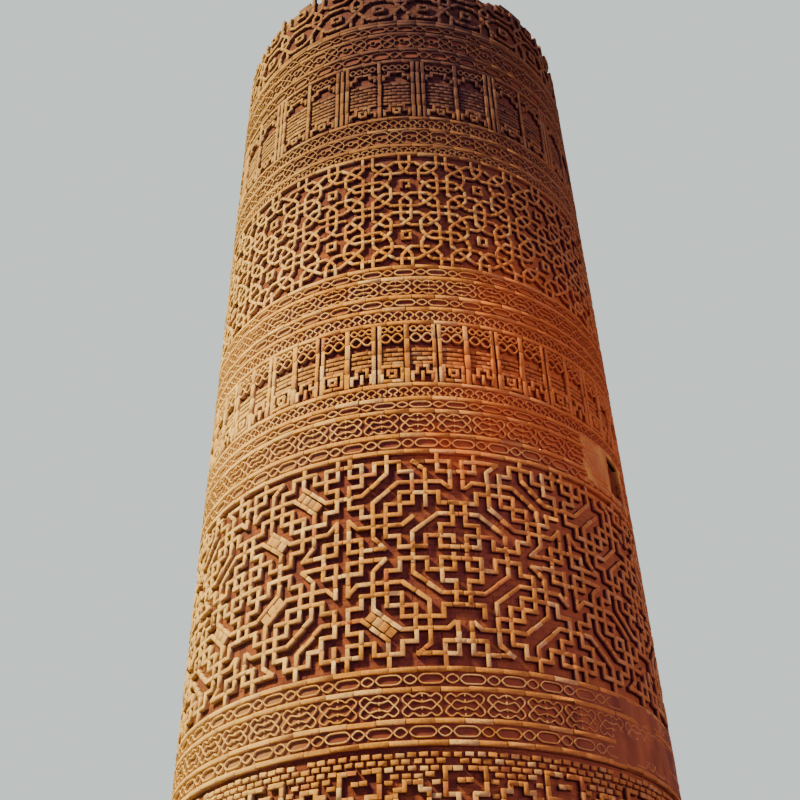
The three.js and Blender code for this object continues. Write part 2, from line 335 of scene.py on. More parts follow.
class MinaretSizes(bpy.types.PropertyGroup):
    """Sizes of the bricks and of the relief"""

    __annotations__ = {
        key: bpy.props.FloatProperty(name=name, description=told, default=size, unit="LENGTH")
        for key, (name, told, size) in LENGTHS.items()
    }
    lost: bpy.props.FloatProperty(
        name="Lost",
        description="Share of the relief bricks that have fallen out",
        default=0.005,
        subtype="FACTOR",
    )
    seed: bpy.props.IntProperty(
        name="Seed",
        description="Start of the chance that sets the bricks out of true",
        default=7,
    )


class MinaretColours(bpy.types.PropertyGroup):
    """Colours of the bricks, the mortar and the floor"""

    __annotations__ = {
        key: bpy.props.FloatVectorProperty(
            name=name, description=told, subtype="COLOR", default=linear(shade)
        )
        for key, (name, told, shade) in COLOURS.items()
    }


# Setting out


def face_radius(height):
    return FOOT_RADIUS - BATTER * height


def extent(node):
    """Lowest and highest height of a node of the frame."""
    low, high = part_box(node)
    return low[2], high[2]


def band(name):
    """Lowest and highest height of a band, and the radius of its face half way up."""
    low, high = extent(f"{name}_band_front")
    return low, high, face_radius((low + high) / 2)


def all_round(count, first=0.0):
    """Bearings of so many copies round the shaft, the first at its own bearing."""
    return first + 360 / count * np.arange(count)


def chance_for(step):
    """Chance that falls the same way each time, with a step of its own for each kind of work."""
    return np.random.default_rng(bpy.context.scene.minaret_sizes.seed + step)


def bent(points, bearing, girth):
    """Flat points (along, height, proud) bent round the shaft. Along is measured at a radius of
    girth, from a bearing in degrees."""
    angle = np.radians(bearing) + points[..., 0] / girth
    radius = face_radius(points[..., 1]) + points[..., 2]
    return np.stack([radius * np.sin(angle), -radius * np.cos(angle), points[..., 1]], axis=-1)


def lost_beds(bearing):
    """Number of beds that the rim has lost at each bearing."""
    step = (bearing / RIM_STEP + 20) % 40 - 20
    gone = np.zeros_like(step)
    for first, last, beds in LOST_BRICKS:
        gone = np.where((step >= first) & (step < last), beds, gone)
    return gone


def standing(corners):
    """True for each shape that is clear of the window and below the broken rim."""
    sizes = bpy.context.scene.minaret_sizes
    middle = corners.mean(axis=1)
    bearing = np.degrees(np.arctan2(middle[:, 0], -middle[:, 1]))
    girth = face_radius(middle[:, 2])
    across = np.radians((bearing - WINDOW_BEARING + 180) % 360 - 180) * girth
    in_window = (np.abs(across) < WINDOW_WIDTH / 2 + sizes.brick / 4) & (
        np.abs(middle[:, 2] - WINDOW_SILL - WINDOW_HEIGHT / 2)
        < WINDOW_HEIGHT / 2 + sizes.course / 2
    )
    rim = extent("crown_band_front")[1] - lost_beds(bearing) * sizes.bed
    return ~in_window & (corners[..., 2].max(axis=1) < rim)


def mirrored(route):
    """The route from its mirror image on the left, through its start, to its own end."""
    left = [(-x, y) for x, y in reversed(route)]
    return left + route[1:] if route[0][0] == 0 else left + route


def flipped(route):
    return [(x, -y) for x, y in route]


def halves(routes):
    """Routes of the right half of a cell, and their mirror images in the left half."""
    return routes + [[(-x, y) for x, y in route] for route in routes]


def quarters(routes):
    """Routes of one quarter of a cell, and their mirror images in the other three."""
    return halves(routes) + [flipped(route) for route in halves(routes)]


def moved(routes, along):
    return [[(x + along, y) for x, y in route] for route in routes]


def scaled(routes, along, up, lift=0.0):
    """Routes in metres: each point times along and up, then raised by lift."""
    return [[(x * along, y * up + lift) for x, y in route] for route in routes]


def within(routes, low, high):
    """Routes whose ends don't pass the edges of their band."""
    return [[(x, min(max(y, low), high)) for x, y in route] for route in routes]


# Shapes


def deselect():
    for each in bpy.context.selected_objects:
        each.select_set(False)


def alone(obj):
    """Selects one object and no other."""
    deselect()
    bpy.context.view_layer.objects.active = obj
    obj.select_set(True)


def edit(obj):
    """Goes into edit mode on one object alone, with faces to be picked."""
    alone(obj)
    bpy.ops.object.mode_set(mode="EDIT")
    bpy.ops.mesh.select_mode(type="FACE")


def pick(test):
    """In edit mode, selects the faces whose normal passes the test, and no others."""
    shape = bmesh.from_edit_mesh(bpy.context.object.data)
    for face in shape.faces:
        face.select_set(bool(test(face.normal)))
    shape.select_flush_mode()
    bmesh.update_edit_mesh(bpy.context.object.data)


def finished(obj, name, finish, smooth=None):
    """Names a made object, gives it its finish and lets it ride with the building."""
    bpy.ops.object.mode_set(mode="OBJECT")
    alone(obj)
    bpy.ops.object.transform_apply(location=True, rotation=True, scale=True)
    if smooth is not None:
        bpy.ops.object.shade_smooth_by_angle(angle=math.radians(smooth))
    obj.name = name
    obj.data.name = name
    obj.data.materials.clear()
    obj.data.materials.append(finish_named(finish))
    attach(obj, "root")
    deselect()
    return obj


UNIT_ARRIS = 0.1


def model_brick():
    """The brick that all the others copy, a metre each way: a cube whose front edges are worn
    off. Gives its corners and its faces."""
    deselect()
    bpy.ops.mesh.primitive_cube_add(size=1, location=(0, 0, -0.5))
    brick = bpy.context.object
    bpy.ops.object.transform_apply(location=True)
    edit(brick)
    pick(lambda normal: normal.z > 0.5)
    bpy.ops.mesh.bevel(offset=UNIT_ARRIS, affect="EDGES")
    bpy.ops.object.mode_set(mode="OBJECT")
    corners = np.array([v.co for v in brick.data.vertices])
    faces = np.array([p.vertices for p in brick.data.polygons])
    bpy.data.objects.remove(brick)
    return corners, faces


def laid(places, bearings, girth, chance):
    """Bricks at places, rows of (along, height, length, width, turn, front, depth), repeated at
    each bearing and knocked a little out of true."""
    sizes = bpy.context.scene.minaret_sizes
    unit, faces = model_brick()
    rows = np.tile(np.asarray(places, float), (len(bearings), 1))
    turns = np.repeat(np.asarray(bearings, float), len(places))
    arris = sizes.arris / UNIT_ARRIS
    half = rows[:, None, 2:4] / 2
    flat = np.sign(unit[:, :2]) * (half - (0.5 - np.abs(unit[:, :2])) * arris)
    back = unit[:, 2] < -0.5
    proud = rows[:, None, 5] + np.where(back, -rows[:, None, 6], unit[:, 2] * arris)
    turn = rows[:, None, 4]
    along = flat[..., 0] * np.cos(turn) - flat[..., 1] * np.sin(turn) + rows[:, None, 0]
    height = flat[..., 0] * np.sin(turn) + flat[..., 1] * np.cos(turn) + rows[:, None, 1]
    corners = np.stack([along, height, proud], axis=-1)
    corners += chance.normal(0, 0.5 * sizes.looseness, corners.shape)
    corners += chance.normal(0, sizes.looseness, (len(corners), 1, 3))
    corners[..., 1] = np.maximum(corners[..., 1], 0)
    corners[..., 2] = np.minimum(corners[..., 2], FURTHEST_FRONT)
    return bent(corners, turns[:, None], girth), faces


def weather_beaten(places, bearings, girth, chance, losses=1):
    """Laid bricks, less the share of them that has fallen out, so many times over."""
    corners, faces = laid(places, bearings, girth, chance)
    lost = losses * bpy.context.scene.minaret_sizes.lost
    return corners[chance.random(len(corners)) > lost], faces


def bars(routes, width, front, depth, longest):
    """Rows for laid(): the bricks that follow each route, cut so that none is too long, with
    their ends carried on to fill the corners."""
    joint = bpy.context.scene.minaret_sizes.joint
    rows = []
    for route in routes:
        points = [Vector(p) for p in route]
        runs = [b - a for a, b in zip(points, points[1:])]
        bends = [0] + [min(a.angle(b), math.pi / 2) for a, b in zip(runs, runs[1:])] + [0]
        for i, run in enumerate(runs):
            way = run.normalized()
            start = points[i] - way * width / 2 * math.tan(bends[i] / 2)
            end = points[i + 1] + way * width / 2 * math.tan(bends[i + 1] / 2)
            count = math.ceil((end - start).length / longest)
            for k in range(count):
                middle = start.lerp(end, (k + 0.5) / count)
                length = (end - start).length / count - joint
                turn = math.atan2(way.y, way.x)
                rows.append((middle.x, middle.y, length, width, turn, front, depth))
    return rows


BEND = 0.3  # how widely a strand rounds its corners
BEND_STEPS = 8
FEWEST_STEPS = 6  # along a short strand
STRAND_HALVES = (0.62, 0.4)  # half its width at its back and front, as shares of its width


def smooth_route(route, closed, spacing):
    """Points spaced along a curve through the route, nearly straight between its points."""
    points = np.array(route, float)
    if closed:
        points = np.vstack([points[-1:], points, points[:2]])
    else:
        points = np.vstack([2 * points[0] - points[1], points, 2 * points[-1] - points[-2]])
    curve = []
    t = np.linspace(0, 1, BEND_STEPS, endpoint=False)[:, None]
    for a, b, c, d in zip(points, points[1:], points[2:], points[3:]):
        leave, arrive = BEND * (c - a), BEND * (d - b)
        curve.append(
            b + leave * t + (3 * (c - b) - 2 * leave - arrive) * t**2
            + (2 * (b - c) + leave + arrive) * t**3
        )
    curve = np.vstack(curve + [points[-2:-1]])
    steps = np.r_[0, np.cumsum(np.linalg.norm(np.diff(curve, axis=0), axis=1))]
    count = max(FEWEST_STEPS, round(steps[-1] / spacing))
    at = np.linspace(0, steps[-1], count + 1)
    if closed:
        at = at[:-1]
    return np.stack([np.interp(at, steps, curve[:, i]) for i in (0, 1)], axis=1)


def strand(route, closed, spacing, width, front, back):
    """A strand of cut brick along a smooth route: flat corners and faces. Its section narrows
    towards the front."""
    line = smooth_route(route, closed, spacing)
    if closed:
        way = np.roll(line, -1, axis=0) - np.roll(line, 1, axis=0)
    else:
        way = np.gradient(line, axis=0)
    way /= np.linalg.norm(way, axis=1)[:, None]
    side = np.stack([-way[:, 1], way[:, 0]], axis=1)
    wide, narrow = STRAND_HALVES
    section = [(-wide, back), (-narrow, front), (narrow, front), (wide, back)]
    corners = np.stack(
        [np.column_stack([line + side * w * width, np.full(len(line), p)]) for w, p in section],
        axis=1,
    )
    faces = []
    count = len(line)
    for i in range(count if closed else count - 1):
        here, there = 4 * i, 4 * ((i + 1) % count)
        for j in range(4):
            k = (j + 1) % 4
            faces.append((here + j, here + k, there + k, there + j))
    if not closed:
        last = 4 * (count - 1)
        faces.append((3, 2, 1, 0))
        faces.append((last, last + 1, last + 2, last + 3))
    return corners.reshape(-1, 3), np.array(faces)


def repeated(flat, faces, bearings, girth, chance):
    """One flat shape set round the shaft at each bearing, each copy a little out of place."""
    looseness = bpy.context.scene.minaret_sizes.looseness
    turns = np.asarray(bearings, float)[:, None]
    copies = np.tile(flat, (len(bearings), 1, 1))
    copies[..., :2] += chance.normal(0, looseness, (len(copies), 1, 2))
    copies[..., :2] += chance.normal(0, 0.3 * looseness, copies[..., :2].shape)
    return bent(copies, turns, girth), faces


def build(name, shapes, finish="fired_brick_relief", smooth=None):
    """One piece from shapes, each an array of corners, shape by shape, and the faces that they
    share. What the window or the broken rim cuts off is left out."""
    corners = []
    faces = []
    start = 0
    for points, sides in shapes:
        points = points[standing(points)]
        firsts = start + points.shape[1] * np.arange(len(points))
        faces.append((firsts[:, None, None] + sides).reshape(-1, 4))
        corners.append(points.reshape(-1, 3))
        start += points.shape[0] * points.shape[1]
    corners = np.concatenate(corners)
    faces = np.concatenate(faces)
    mesh = bpy.data.meshes.new(name)
    mesh.vertices.add(len(corners))
    mesh.vertices.foreach_set("co", corners.ravel())
    mesh.loops.add(faces.size)
    mesh.loops.foreach_set("vertex_index", faces.ravel())
    mesh.polygons.add(len(faces))
    mesh.polygons.foreach_set("loop_start", np.arange(0, faces.size, 4))
    mesh.update(calc_edges=True)
    made = bpy.data.objects.new(name, mesh)
    bpy.context.collection.objects.link(made)
    bpy.context.view_layer.objects.active = made
    return finished(made, name, finish, smooth)


def turned(low, high, proud):
    """A length of wall whose outer face stands at proud, turned about the axis: a circle is
    drawn and pulled from point to point of its outline."""
    outline = [(BORE_RADIUS, low), (face_radius(low) + proud, low),
               (face_radius(high) + proud, high), (BORE_RADIUS, high)]
    deselect()
    radius, height = outline[0]
    bpy.ops.mesh.primitive_circle_add(
        vertices=TURN_STEPS, radius=radius, location=(0, 0, height), rotation=(0, 0, math.pi / 2)
    )
    made = bpy.context.object
    bpy.ops.object.transform_apply(location=True, rotation=True)
    bpy.ops.object.mode_set(mode="EDIT")
    bpy.ops.mesh.select_all(action="SELECT")
    for new_radius, new_height in outline[1:] + outline[:1]:
        bpy.ops.mesh.extrude_edges_move(
            TRANSFORM_OT_translate={"value": (0, 0, new_height - height)}
        )
        share = new_radius / radius
        bpy.ops.transform.resize(value=(share, share, 1), center_override=(0, 0, new_height))
        radius, height = new_radius, new_height
    bpy.ops.mesh.select_all(action="SELECT")
    bpy.ops.mesh.remove_doubles(threshold=1e-5)
    bpy.ops.mesh.normals_make_consistent(inside=False)
    bpy.ops.object.mode_set(mode="OBJECT")
    return made


def cut_away(obj, cutter):
    """Takes the cutter's shape out of the object, and the cutter away."""
    cut = obj.modifiers.new("Opening", "BOOLEAN")
    cut.object = cutter
    cut.operation = "DIFFERENCE"
    cut.solver = "EXACT"
    alone(obj)
    bpy.ops.object.modifier_apply(modifier=cut.name)
    bpy.data.objects.remove(cutter)


# Finishes. The grain and pits of the real bricks are a few millimetres wide. They are drawn
# coarser, because so fine a pattern wouldn't show from where the photo was taken.

EASED = {"interpolation_type": "SMOOTHSTEP"}
PRODUCT = {"operation": "MULTIPLY"}
PRODUCT_PLUS = {"operation": "MULTIPLY_ADD"}
BLEND = {"data_type": "RGBA"}
MULTIPLIED = {"data_type": "RGBA", "blend_type": "MULTIPLY"}
BRICK_IOR = 1.45


def add(tree, kind, links=(), out=0, stops=(), **settings):
    """Adds a node with its settings and gives one of its outputs. Links hold a value, or the
    output that feeds it, for each socket. Stops are the places and colours of a ramp."""
    made = tree.nodes.new("ShaderNode" + kind)
    for name, value in settings.items():
        setattr(made, name, value)
    if stops:
        ends = made.color_ramp.elements
        for end, (position, colour) in ((ends[0], stops[0]), (ends[1], stops[-1])):
            end.position = position
            end.color = opaque(colour)
        for position, colour in stops[1:-1]:
            made.color_ramp.elements.new(position).color = opaque(colour)
    for socket, value in links.items() if isinstance(links, dict) else enumerate(links):
        if isinstance(value, bpy.types.NodeSocket):
            tree.links.new(value, made.inputs[socket])
        else:
            made.inputs[socket].default_value = value
    return made.outputs[out]


def per_metre(width):
    """How often a pattern of this width in millimetres repeats in a metre."""
    return 1 / (width * MM)


def opaque(colour):
    return (*colour, 1)


def new_finish(name):
    """An empty material with its shader: gives the material, its tree and the shader."""
    finish = bpy.data.materials.new(name)
    finish.use_nodes = True
    return finish, finish.node_tree, finish.node_tree.nodes["Principled BSDF"]


def surfaced(tree, shader, colour, heights, strength, depth, roughness, ior=BRICK_IOR):
    """Gives a shader its colour, a rough surface of a real depth, and its dull sheen."""
    bump = add(tree, "Bump", {"Height": heights, "Strength": strength, "Distance": depth})
    tree.links.new(colour, shader.inputs["Base Color"])
    tree.links.new(bump, shader.inputs["Normal"])
    shader.inputs["Roughness"].default_value = roughness
    shader.inputs["IOR"].default_value = ior


BRICKS_ROUND = 64  # whole, so that the drawn bricks close at the back


def courses(tree):
    """Places on the wall, their axes and distance from the axis of the shaft, and brick
    coordinates on any face of it: bearing and depth along, beds up."""
    length, height = DRAWN_BRICK
    place = add(tree, "TexCoord", out="Object")
    axes = add(tree, "SeparateXYZ", [place]).node.outputs
    front = add(tree, "Math", [axes["Y"], -1.0], **PRODUCT)
    bearing = add(tree, "Math", [axes["X"], front], operation="ARCTAN2")
    bricks = add(tree, "Math", [bearing, BRICKS_ROUND / math.tau], **PRODUCT)
    level = add(tree, "Math", [axes["Z"], 1 / height], **PRODUCT)
    flat = add(tree, "CombineXYZ", [axes["X"], axes["Y"]])
    depth = add(tree, "VectorMath", [flat], "Value", operation="LENGTH")
    inward = add(tree, "Math", [depth, 1 / length], **PRODUCT)
    along = add(tree, "Math", [bricks, inward])
    return place, axes, depth, add(tree, "CombineXYZ", [along, level])


def drift(tree, place, axes):
    """How far to the right and how high up a point lies, in metres, unsettled by slow noise."""
    wander = add(tree, "TexNoise", {"Vector": place, "Scale": per_metre(770), "Detail": 6.0})
    across = add(tree, "Math", [wander, 0.9, axes["X"]], **PRODUCT_PLUS)
    level = add(tree, "Math", [wander, 1.6, axes["Z"]], **PRODUCT_PLUS)
    return across, level


def shaded(tree, clean, across):
    """A brick colour that turns orange towards the right: painted shade on the side away from the
    light.
    """
    side = add(tree, "MapRange", [across, -0.2, 2.6, 0.0, 0.7], **EASED)
    orange = opaque(bpy.context.scene.minaret_colours.orange)
    return add(tree, "Mix", {0: side, 6: clean, 7: orange}, 2, **BLEND)


def painted_light_and_tint(tree, clean, axes, across, level, brightened, crown_shade_share):
    """A colour with painted light and shade: paler on the left as painted sunlight and darker round
    the crown as painted shade, up to the shares that are given, and tinted orange over the two
    middle borders."""
    colours = bpy.context.scene.minaret_colours
    # Painted light: paler towards the left, the side that faces the light
    painted_sunlight = add(tree, "MapRange", [across, 0.1, -1.7, 0.0, brightened], **EASED)
    pale = add(tree, "Mix", {0: painted_sunlight, 6: clean, 7: opaque(colours.straw)}, 2, **BLEND)
    above = add(tree, "MapRange", [level, 8.2, 9.0], **EASED)
    below = add(tree, "MapRange", [level, 11.8, 10.9], **EASED)
    middle = add(tree, "Math", [above, below], **PRODUCT)
    # The orange reaches less far to the left the higher it is
    edge = add(tree, "Math", [axes["Z"], -0.27, across], **PRODUCT_PLUS)
    reach = add(tree, "MapRange", [edge, -2.1, -1.0, 0.0, 0.68], **EASED)
    orange_patch = add(tree, "Math", [middle, reach], **PRODUCT)
    orange_tinted = add(tree, "Mix", {0: orange_patch, 6: pale, 7: opaque(colours.burnt)}, 2, **BLEND)
    # Painted shade: darker towards the top, less on the far left and the far right
    high = add(tree, "MapRange", [level, 10.6, 14.2], **EASED)
    rightward = add(tree, "MapRange", [across, -1.8, 0.4, 0.4, 1.0], **EASED)
    soot = add(tree, "Math", [high, rightward], **PRODUCT)
    fading = add(tree, "MapRange", [across, 2.3, 1.0, 0.45 * crown_shade_share, crown_shade_share], **EASED)
    soot = add(tree, "Math", [soot, fading], **PRODUCT)
    return add(tree, "Mix", {0: soot, 6: orange_tinted, 7: opaque(colours.soot)}, 2, **BLEND)


def fired_brick(name, tones, pits, clean, buried):
    """Buff fired brick, cut and laid proud. Each brick has its own tone and its face is pitted. Its
    sides darken with grime and painted shade from one depth behind the string courses to another,
    and it takes painted light on the left and painted shade on the right and round the crown."""
    grime = opaque(bpy.context.scene.minaret_colours.grime)
    finish, tree, shader = new_finish(name)
    place, axes, depth, _ = courses(tree)
    island = add(tree, "NewGeometry", out="Random Per Island")
    tone = add(tree, "ValToRGB", [island], stops=tones)
    grain = add(tree, "TexNoise", {"Vector": place, "Scale": per_metre(pits), "Detail": 5.0,
                                   "Roughness": 0.68})
    pitted = add(tree, "MapRange", [grain, 0.3, 0.68, 0.66, 1.14], **EASED)
    worn = add(tree, "Mix", {0: 1.0, 6: tone, 7: pitted}, 2, **MULTIPLIED)
    across, level = drift(tree, place, axes)
    # Painted shade: orange towards the right, the side away from the light
    worn = shaded(tree, worn, across)
    # Painted shade in the recesses, mixed with grime: the further a face lies behind the string
    # courses, the darker it is
    ground = add(tree, "Math", [axes["Z"], BATTER, depth], **PRODUCT_PLUS)
    limits = [ground, FOOT_RADIUS - clean, FOOT_RADIUS - buried, 0.0, 0.92]
    recess_shade = add(tree, "MapRange", limits, **EASED)
    shaded_and_dirty = add(tree, "Mix", {0: recess_shade, 6: worn, 7: grime}, 2, **BLEND)
    # Painted light on the left, painted shade round the crown, and an orange tint over the middle
    # borders
    colour = painted_light_and_tint(tree, shaded_and_dirty, axes, across, level, 0.7, 0.96)
    surfaced(tree, shader, colour, grain, 0.75, 0.008, 0.92)
    return finish


def brick_and_mortar(name, brick, dark, mortar, joint_share, depth_mm, soiled):
    """Fired brick in lime mortar, drawn in courses of the real size on a plain wall, with raked
    joints of a real depth and with patches soiled up to a share."""
    grime = opaque(bpy.context.scene.minaret_colours.grime)
    finish, tree, shader = new_finish(name)
    place, axes, _, beds = courses(tree)
    laid_in = add(tree, "TexBrick", {
        "Vector": beds, "Color1": opaque(brick), "Color2": opaque(dark),
        "Mortar": opaque(mortar), "Scale": 1.0, "Mortar Size": joint_share,
        "Mortar Smooth": 0.4, "Bias": 0.0, "Brick Width": 1.0, "Row Height": 1.0,
    }).node.outputs
    stains = add(tree, "TexNoise", {"Vector": place, "Scale": per_metre(170), "Detail": 8.0,
                                    "Roughness": 0.6})
    shade = add(tree, "MapRange", [stains, 0.3, 0.7, 0.6, 1.25])
    worn = add(tree, "Mix", {0: 1.0, 6: laid_in["Color"], 7: shade}, 2, **MULTIPLIED)
    soil = add(tree, "TexNoise", {"Vector": place, "Scale": per_metre(110), "Detail": 4.0})
    patches = add(tree, "MapRange", [soil, 0.42, 0.62, 0.0, soiled], **EASED)
    worn = add(tree, "Mix", {0: patches, 6: worn, 7: grime}, 2, **BLEND)
    across, level = drift(tree, place, axes)
    # Painted shade on the right and round the crown, painted light on the left, and an orange tint
    # over the middle borders
    colour = painted_light_and_tint(tree, shaded(tree, worn, across), axes, across, level, 0.06, 0.8)
    grain = add(tree, "TexNoise", {"Vector": place, "Scale": per_metre(33), "Detail": 5.0})
    heights = add(tree, "Math", [laid_in["Fac"], -1.0, grain], **PRODUCT_PLUS)
    surfaced(tree, shader, colour, heights, 0.8, depth_mm * MM, 0.95)
    return finish


def terracotta_plate(name):
    """Flat terracotta plates behind the strands: smoother than brick, mottled by the kiln and
    with dirt left in them."""
    colours = bpy.context.scene.minaret_colours
    finish, tree, shader = new_finish(name)
    place, axes, _, _ = courses(tree)
    mottle = add(tree, "TexNoise", {"Vector": place, "Scale": per_metre(140), "Detail": 7.0,
                                    "Roughness": 0.6})
    tone = add(tree, "ValToRGB", [mottle], stops=[(0.22, colours.grime), (0.55, colours.plate)])
    across, level = drift(tree, place, axes)
    # Painted shade on the right and round the crown, painted light on the left, and an orange tint
    # over the middle borders
    colour = painted_light_and_tint(tree, shaded(tree, tone, across), axes, across, level, 0.4, 0.45)
    grain = add(tree, "TexNoise", {"Vector": place, "Scale": per_metre(28), "Detail": 5.0})
    surfaced(tree, shader, colour, grain, 0.5, 0.006, 0.9)
    return finish


def mud_plaster(name, dark, pale):
    """Mud plaster, trowelled over an old border: smooth, with soft hollows, and drawn down in
    streaks by the rain."""
    finish, tree, shader = new_finish(name)
    place = add(tree, "TexCoord", out="Object")
    drawn = add(tree, "Mapping", {"Vector": place, "Scale": (1.0, 1.0, 0.35)})
    streaks = add(tree, "TexNoise", {"Vector": drawn, "Scale": per_metre(200), "Detail": 6.0})
    tone = add(tree, "ValToRGB", [streaks], stops=[(0.35, dark), (0.75, pale)])
    grain = add(tree, "TexNoise", {"Vector": place, "Scale": per_metre(40), "Detail": 6.0})
    surfaced(tree, shader, tone, grain, 0.5, 0.01, 0.9, ior=1.5)
    return finish


def finish_named(name):
    """A finish by name, made the first time that it is asked for."""
    if name in bpy.data.materials:
        return bpy.data.materials[name]
    c = bpy.context.scene.minaret_colours
    relief = [(0, c.straw), (0.35, c.buff), (0.85, c.buff), (1, c.orange)]
    makers = {
        "fired_brick_relief": (fired_brick, relief, 26, 0.005, 0.028),
        "fired_brick_courses": (fired_brick, [(0, c.buff), (0.7, c.buff), (1, c.straw)], 26,
                                0.012, 0.05),
        "fired_brick_headers": (fired_brick, relief, 26, 0.02, 0.056),
        "cut_terracotta": (fired_brick, [(0, c.straw), (1, c.buff)], 22, 0.01, 0.03),
        "fired_brick_ground": (brick_and_mortar, c.ground, c.earth, c.earth, 0.06, 14, 0.6),
        "fired_brick_plain": (brick_and_mortar, c.buff, c.orange, c.mortar, 0.09, 8, 0.1),
        "terracotta_plate": (terracotta_plate,),
        "mud_plaster": (mud_plaster, c.orange, c.plaster),
        "earth_plaster": (mud_plaster, c.plate, c.orange),
    }
    maker, *settings = makers[name]
    return maker(name, *settings)


# Motifs of the borders: (route, closed), in millimetres from the middle of a module


def chain_routes():
    """A long oval with pointed ends, and a small ring beside it that it touches."""
    oval = [(108, 0), (86, 30), (62, 41), (0, 43), (-62, 41), (-86, 30)]
    ring = [(54, 0), (34, 26), (0, 42), (-34, 26)]
    ring += [(-x, -y) for x, y in ring]
    return [
        (oval + [(-x, -y) for x, y in oval], True),
        ([(x + 175, y) for x, y in ring], True),
    ]


def wave_routes():
    """Two looped strands that cross at the sides of the module and wave along it, with a small
    stud in the middle of each wave."""
    half = [(0, 99), (38, 92), (68, 68), (100, 92), (118, 100), (136, 88), (162, 60), (148, 30),
            (118, 0), (94, -28), (74, -44), (40, -32), (0, -24)]
    loop = half + [(-x, y) for x, y in reversed(half[1:-1])]
    studs = [([(0, y - 14), (0, y + 14)], False) for y in (-90, -30, 30, 90)]
    return [(loop, True), (flipped(loop), True), *studs]


def net_routes():
    """A net of crossed strands, and a ring in a panel beside it."""
    half = 170
    across = [(-half, 97), (-112, 97), (-92, 88), (-63, 55), (0, 3), (63, -50), (92, -84),
              (112, -97), (half, -97)]
    side = [(0, 100), (-34, 92), (-63, 55), (-88, 4), (-63, -50), (-34, -92), (0, -100)]
    loop = side + [(-x, y) for x, y in reversed(side[1:-1])]
    angles = np.radians(np.arange(0, 360, 45))
    ring = [(half + 33 * math.cos(a), 33 * math.sin(a)) for a in angles]
    return [
        (across, False),
        (flipped(across), False),
        (loop, True),
        (ring, True),
        ([(88, 3), (134, 3)], False),
        ([(2 * half - 134, 3), (2 * half - 88, 3)], False),
    ]


def hourglass_routes():
    """A ring above and splayed legs below, from one strand that touches its neighbours."""
    half = [(0, 44), (20, 38), (38, 22), (46, 8), (38, -7), (20, -18), (12, -27), (19, -39),
            (36, -57)]
    return [(mirrored(half), False)]


# Operators, one for each piece or group of like pieces


class MINARET_OT_walls(bpy.types.Operator):
    """Turns the smooth walls of the bands and borders, which carry the relief"""

    bl_idname = "minaret.walls"
    bl_label = "Walls of the bands"

    def execute(self, context):
        sizes = context.scene.minaret_sizes
        for name in BANDS:
            low, high = extent(f"{name}_front")
            if name == "crown_band":
                high -= RIM_BEDS * sizes.bed
            ring = turned(low, high, -sizes.relief)
            finished(ring, f"{name}_ground", "fired_brick_ground", smooth=30)
            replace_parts(ring, *[f"{name}_{side}" for side in SIDES])
        for name in BORDERS:
            ring = turned(*extent(name), -sizes.inlay)
            if name == "fret_border":
                cut_away(ring, window_cutter())
            finished(ring, f"{name}_ground", "terracotta_plate", smooth=30)
            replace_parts(ring, name)
        return {"FINISHED"}


def window_cutter():
    """A block that fills the slit window, right through the wall."""
    deselect()
    bpy.ops.mesh.primitive_cube_add(size=1)
    cutter = bpy.context.object
    cutter.scale = (WINDOW_WIDTH, FOOT_RADIUS, WINDOW_HEIGHT)
    turn = math.radians(WINDOW_BEARING)
    reach = FOOT_RADIUS * 0.8
    height = WINDOW_SILL + WINDOW_HEIGHT / 2
    cutter.location = (reach * math.sin(turn), -reach * math.cos(turn), height)
    cutter.rotation_euler = (0, 0, turn)
    bpy.ops.object.transform_apply(location=True, rotation=True, scale=True)
    return cutter


class MINARET_OT_string_courses(bpy.types.Operator):
    """Lays the string courses of every border, brick by brick"""

    bl_idname = "minaret.string_courses"
    bl_label = "String courses"

    def execute(self, context):
        sizes = context.scene.minaret_sizes
        chance = chance_for(0)
        for name, strips in BORDERS.items():
            feet = [extent(name)[0]]
            for height, *_ in strips:
                feet.append(feet[-1] + sizes.course + height * MM)
            if name == "crown_border":
                feet.append(feet[-1] + sizes.course)
            shapes = []
            for foot in feet:
                girth = face_radius(foot)
                count = round(math.tau * girth / sizes.brick)
                start = chance.uniform(0, 360 / count)
                length = math.radians(360 / count) * girth - sizes.joint
                row = (0, foot + sizes.course / 2, length, sizes.course - COURSE_JOINT, 0,
                       COURSE_FRONT, sizes.relief + COURSE_TAIL)
                shapes.append(laid([row], all_round(count, start), girth, chance))
            build(f"{name}_courses", shapes, "fired_brick_courses")
        return {"FINISHED"}


class MINARET_OT_border_strips(bpy.types.Operator):
    """Sets the cut strands of every border: chains, waves, nets and hourglasses"""

    bl_idname = "minaret.border_strips"
    bl_label = "Border ornament"

    def execute(self, context):
        sizes = context.scene.minaret_sizes
        chance = chance_for(10)
        routes = {
            "chain": chain_routes(),
            "wave": wave_routes(),
            "net": net_routes(),
            "hourglass": hourglass_routes(),
        }
        for name, strips in BORDERS.items():
            foot = extent(name)[0]
            shapes = []
            for height, motif, count, bearing in strips:
                foot += sizes.course
                middle = foot + height * MM / 2
                girth = face_radius(middle)
                width, full, spacing = MODULES[motif]
                stretch = math.tau * girth / count / (width * MM)
                squeeze = height / full
                for route, closed in routes[motif]:
                    drawn = scaled([route], stretch * MM, squeeze * MM, middle)[0]
                    flat, faces = strand(drawn, closed, spacing * MM, sizes.strand, BAR_FRONT,
                                         -sizes.inlay - BEHIND)
                    bearings = all_round(count, bearing)
                    shapes.append(repeated(flat, faces, bearings, girth, chance))
                foot += height * MM
            build(f"{name}_strands", shapes, "cut_terracotta", smooth=40)
        return {"FINISHED"}


def grid(name, count, steps, lift):
    """How a band is set out in cells: the size of a step along and up, and the height of the
    middle of its pattern."""
    low, high, girth = band(name)
    along = math.pi * girth / count / steps[0]
    up = (high - low) / 2 / steps[1]
    return along, up, (low + high) / 2 + lift


